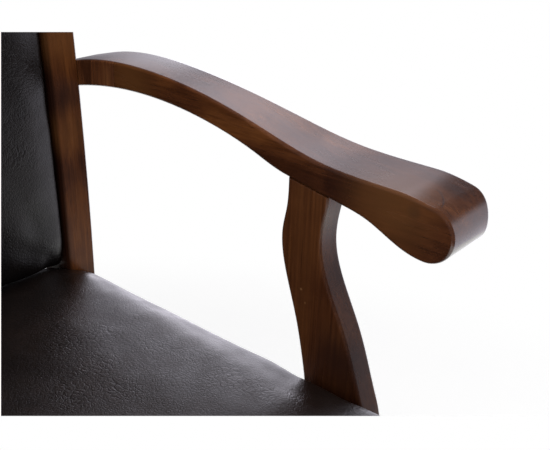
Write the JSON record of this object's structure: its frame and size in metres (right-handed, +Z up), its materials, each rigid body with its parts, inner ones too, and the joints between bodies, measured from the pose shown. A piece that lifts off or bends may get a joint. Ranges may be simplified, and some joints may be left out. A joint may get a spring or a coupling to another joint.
{
  "type": "captains chair",
  "caption": "Dark wooden armchair with swept arms on S-shaped supports, curved rear posts and a leather-covered seat and back.",
  "frame": {"origin": "on the floor, below the middle of the chair's outline", "axes": "+Z up, -Y to the front, +X to the sitter's left"},
  "size_m": [0.6308, 0.538, 0.96],
  "materials": {
    "stained_wood": "dark walnut stain under semi-gloss lacquer",
    "plain_wood": "unfinished hardwood",
    "dowel_wood": "unfinished beech",
    "plywood": "raw plywood",
    "dark_leather": "dark brown bonded leather, semi-gloss, fine creases",
    "foam": "open-cell foam",
    "black_cloth": "non-woven cloth",
    "glide_plastic": "moulded nylon",
    "insert_brass": "plain",
    "zinc_steel": "zinc plated"
  },
  "bodies": {
    "root": {"arm_block_left": "stained_wood", "arm_block_right": "stained_wood", "arm_left": "stained_wood", "arm_plugs": "stained_wood", "arm_right": "stained_wood", "arm_screws": "zinc_steel", "arm_support_left": "stained_wood", "arm_support_right": "stained_wood", "back_board": "plywood", "back_board_screws": "zinc_steel", "back_cover": "dark_leather", "back_dowels": "dowel_wood", "back_foam": "foam", "back_rear_panel": "dark_leather", "corner_block_screws": "zinc_steel", "crest_rail": "stained_wood", "front_corner_block_left": "plain_wood", "front_corner_block_right": "plain_wood", "front_leg_left": "stained_wood", "front_leg_right": "stained_wood", "front_rail": "stained_wood", "leg_glides": "glide_plastic", "lower_back_rail": "stained_wood", "rail_dowels": "dowel_wood", "rear_corner_block_left": "plain_wood", "rear_corner_block_right": "plain_wood", "rear_post_left": "stained_wood", "rear_post_right": "stained_wood", "rear_rail": "stained_wood", "seat_board": "plywood", "seat_cover": "dark_leather", "seat_dust_cover": "black_cloth", "seat_foam": "foam", "seat_screws": "zinc_steel", "side_rail_left": "stained_wood", "side_rail_right": "stained_wood", "support_bolts": "zinc_steel", "support_dowels": "dowel_wood", "support_inserts": "insert_brass"}
  },
  "joints": []
}
